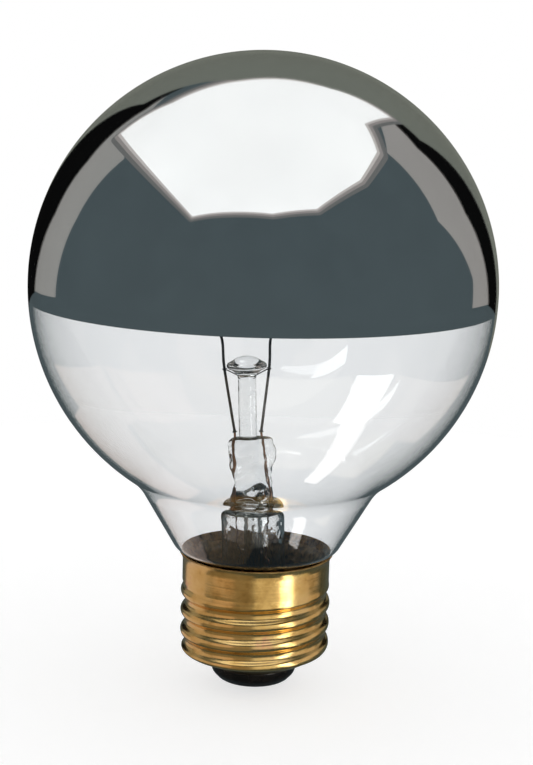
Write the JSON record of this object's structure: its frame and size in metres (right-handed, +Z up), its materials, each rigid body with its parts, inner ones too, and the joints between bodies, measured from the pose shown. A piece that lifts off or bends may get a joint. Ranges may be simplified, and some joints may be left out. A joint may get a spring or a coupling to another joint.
{
  "type": "silver crown globe lamp",
  "caption": "Globe filament lamp with a mirrored crown, a clear lower half that shows the glass stem, and a brass screw cap.",
  "frame": {"origin": "on the lamp's axis at the lowest point of the centre contact's solder", "axes": "+Z up the axis from the contact to the crown; the picture looks along +Y with +X to the right"},
  "size_m": [0.0794, 0.0794, 0.1105],
  "materials": {
    "clear_glass": "clear blown glass",
    "mirror_film": "bright mirror film seen through the glass",
    "stem_glass": "clear glass, thick and uneven",
    "lead_wire": "drawn nickel-plated wire",
    "copper": "copper-coated wire",
    "tungsten": "fine coiled wire",
    "brass": "bright rolled brass",
    "black_glass": "opaque black moulded glass",
    "solder": "dull tin solder",
    "cement": "baked basing cement"
  },
  "bodies": {
    "root": {"glass_globe": "clear_glass", "silver_crown": "mirror_film", "stem_glass": "stem_glass", "exhaust_tube": "stem_glass", "arbor_rod": "stem_glass", "inner_lead_left": "lead_wire", "inner_lead_right": "lead_wire", "tie_wire_left": "lead_wire", "tie_wire_right": "lead_wire", "seal_wire_left": "copper", "seal_wire_right": "copper", "outer_lead_side": "copper", "outer_lead_centre": "copper", "filament": "tungsten", "screw_shell": "brass", "centre_contact": "brass", "base_insulator": "black_glass", "centre_solder": "solder", "side_solder": "solder", "basing_cement": "cement"}
  },
  "joints": []
}
